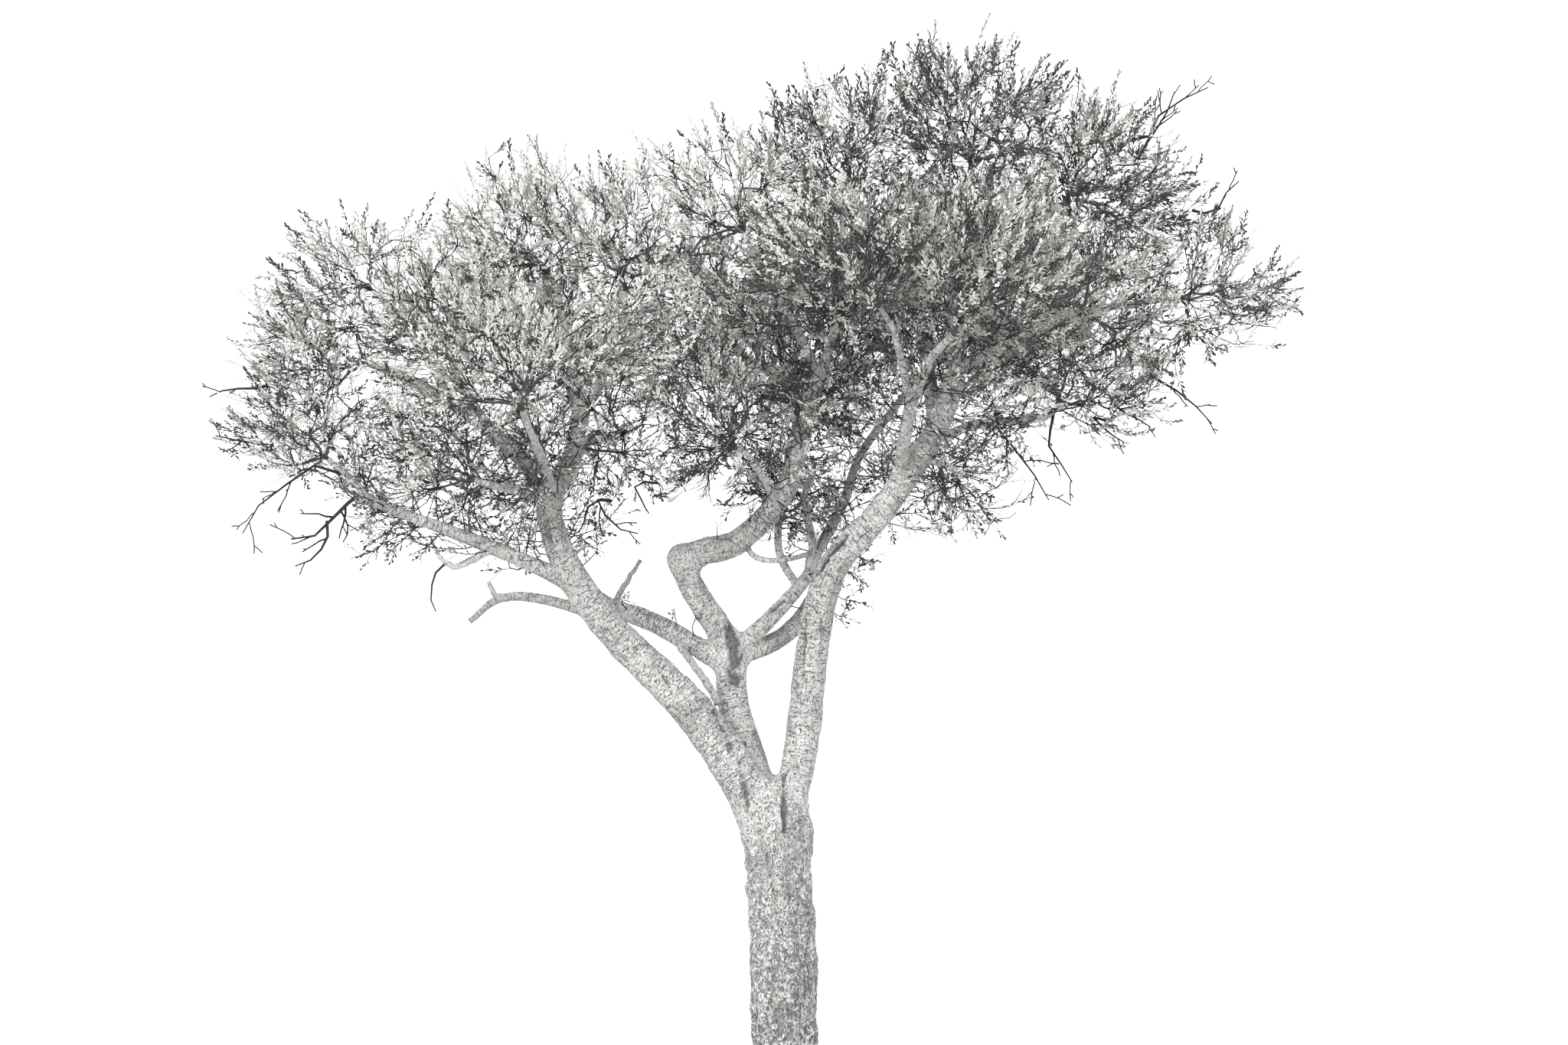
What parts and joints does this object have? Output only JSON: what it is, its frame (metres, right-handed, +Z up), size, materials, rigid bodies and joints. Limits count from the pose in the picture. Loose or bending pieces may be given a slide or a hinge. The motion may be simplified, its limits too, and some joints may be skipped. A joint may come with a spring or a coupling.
{
  "type": "acacia tree",
  "caption": "Flat-crowned savanna thorn tree with a forked trunk, winding boughs and airy masses of small leaves, rooted in level ground.",
  "frame": {"origin": "centre of the flat cut under the trunk, at ground level", "axes": "+X to the right across the broad side of the crown, +Y away behind it, +Z up"},
  "size_m": [7.5724, 5.3079, 9.456],
  "materials": {
    "bark": "grey, dry, fissured bark, paler on the upper boughs",
    "dead_wood": "bare weathered dead wood",
    "foliage": "small dull grey-green leaves on thin dark twigs"
  },
  "bodies": {
    "root": {"back_centre": "bark", "back_right": "bark", "broken_stem": "bark", "centre_low": "bark", "centre_mid": "bark", "centre_top": "bark", "crown_left": "bark", "dead_limb": "dead_wood", "foliage_back_centre": "foliage", "foliage_back_right": "foliage", "foliage_centre_low": "foliage", "foliage_centre_mid": "foliage", "foliage_centre_top": "foliage", "foliage_crown_left": "foliage", "foliage_crown_top": "foliage", "foliage_front_centre": "foliage", "foliage_left_back": "foliage", "foliage_left_front": "foliage", "foliage_left_hem": "foliage", "foliage_left_peak": "foliage", "foliage_left_rise": "foliage", "foliage_left_shoulder": "foliage", "foliage_left_tip_low": "foliage", "foliage_left_tip_mid": "foliage", "foliage_left_top": "foliage", "foliage_left_under": "foliage", "foliage_right_centre": "foliage", "foliage_right_front": "foliage", "foliage_right_heart": "foliage", "foliage_right_hem": "foliage", "foliage_right_low": "foliage", "foliage_right_mid": "foliage", "foliage_right_tip": "foliage", "foliage_right_top": "foliage", "front_centre": "bark", "left_back": "bark", "left_front": "bark", "left_hem": "bark", "left_inner": "bark", "left_limb": "bark", "left_low": "bark", "left_rise": "bark", "left_shoulder": "bark", "left_top": "bark", "left_upper": "bark", "link_branch": "bark", "middle_stem": "bark", "right_centre": "bark", "right_front": "bark", "right_hem": "bark", "right_limb": "bark", "right_low": "bark", "right_mid": "bark", "right_tip": "bark", "right_top": "bark", "sinuous_high": "bark", "sinuous_low": "bark", "trunk": "bark"}
  },
  "joints": []
}
